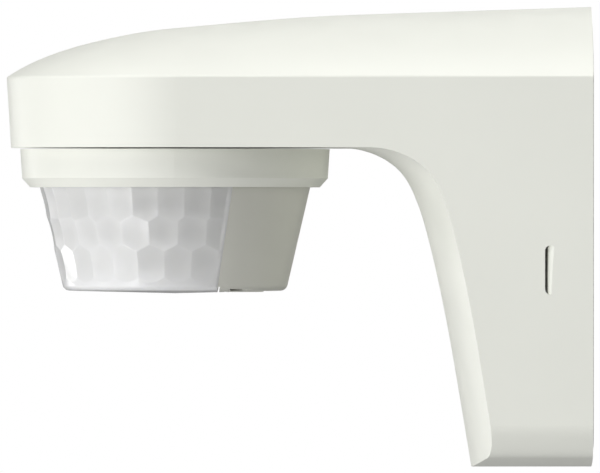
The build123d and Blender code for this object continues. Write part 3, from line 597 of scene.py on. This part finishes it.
def add_driver(chips, ends, corner, z):
    """The board's one larger chip, with a row of legs on each long side."""
    near, far = [corner + Vector((x * MM, y * MM, z)) for x, y in DRIVER_CHIP]
    add_block(chips, near, far + Vector((0, 0, DRIVER_HIGH)), 0.1 * MM)
    for k in range(LEGS):
        x = corner.x + (LEG_FROM + LEG_PITCH * k) * MM
        for start, end in ((near.y - LEG_LONG, near.y), (far.y, far.y + LEG_LONG)):
            add_block(ends, (x - LEG_HALF, start, z), (x + LEG_HALF, end, z + LEG_HIGH))


# ---------------------------------------------------------------- studio
def soft_light(name, place, size, power):
    """A rectangular lamp aimed at the middle of the picture."""
    lamp = bpy.data.lights.new(name, "AREA")
    lamp.shape = "RECTANGLE"
    lamp.size, lamp.size_y = size
    lamp.energy = power
    obj = bpy.data.objects.new(name, lamp)
    bpy.context.scene.collection.objects.link(obj)
    obj.location = place
    obj.rotation_euler = (FRAME_MIDDLE - place).to_track_quat("-Z", "Y").to_euler()
    obj.visible_camera = False


FLOOR_Z = -14.0  # metres; far enough down for a camera that circles below the object
FLOOR_R = 11.0
CAMERA_AWAY = 4.5
FRAME_WIDE = 135.4 * MM
FRAME_MIDDLE = Vector((0, -65.8 * MM, -0.1 * MM))
WORLD_GLOW = 0.14
FLOOR_GLOW = 0.3
LAMPS = [  # name, direction from the object, distance, (width, height), watts
    ("side", (0.35, -0.90, 0.25), 2.4, (2.0, 2.0), 6),
    ("side_low", (0.30, -0.80, -0.50), 2.4, (2.2, 2.2), 30),
    ("left", (-0.45, -0.80, -0.40), 2.4, (1.6, 1.6), 3),
    ("front_left", (0.90, -0.45, 0.10), 2.6, (2.2, 2.2), 27),
    ("top", (0.20, -0.20, 0.95), 2.2, (1.6, 1.4), 25),
    ("top_right", (0.35, 0.50, 0.80), 2.4, (1.6, 1.6), 24),
    ("back", (-0.75, 0.45, 0.35), 2.4, (1.6, 1.6), 30),
    ("strip", (0.64, -0.64, -0.44), 2.0, (0.30, 0.80), 5),
    ("glints", (-0.68, -0.70, -0.15), 1.8, (0.2, 0.5), 2),
]


def studio():
    world = bpy.data.worlds.new("studio")
    bpy.context.scene.world = world
    world.use_nodes = True
    tree = world.node_tree
    back = tree.nodes["Background"]
    back.inputs["Color"].default_value = (1, 1, 1, 1)
    seen = tree.nodes.new("ShaderNodeLightPath")
    strength = tree.nodes.new("ShaderNodeMapRange")
    strength.inputs["To Min"].default_value = WORLD_GLOW
    strength.inputs["To Max"].default_value = 1.0
    tree.links.new(seen.outputs["Is Camera Ray"], strength.inputs["Value"])
    tree.links.new(strength.outputs["Result"], back.inputs["Strength"])
    for name, direction, away, size, power in LAMPS:
        soft_light(name, FRAME_MIDDLE + Vector(direction).normalized() * away, size, power)
    floor = bmesh.new()
    bmesh.ops.create_circle(floor, cap_ends=True, segments=96, radius=FLOOR_R)
    mesh = bpy.data.meshes.new("floor")
    floor.to_mesh(mesh)
    floor.free()
    mesh.materials.append(moulded("floor paint", (0.85, 0.85, 0.85), 0.8, glow=FLOOR_GLOW))
    ground = bpy.data.objects.new("floor", mesh)
    ground.location = (0, 0, FLOOR_Z)
    bpy.context.scene.collection.objects.link(ground)


def camera():
    data = bpy.data.cameras.new("camera")
    data.sensor_width = 36
    data.lens = data.sensor_width * CAMERA_AWAY / FRAME_WIDE
    data.clip_end = 60
    obj = bpy.data.objects.new("camera", data)
    bpy.context.scene.collection.objects.link(obj)
    obj.location = FRAME_MIDDLE + Vector((CAMERA_AWAY, 0, 0))
    obj.rotation_euler = (math.pi / 2, 0, math.pi / 2)
    bpy.context.scene.camera = obj
    bpy.context.scene.view_settings.view_transform = "Standard"


dress_nodes()
for moulding, width in SOFTENED.items():
    soften_edges(moulding, width * MM)
faceted_lens()
dial_marks()
fuse_caps()
can_tops()
board_chips()
studio()
camera()
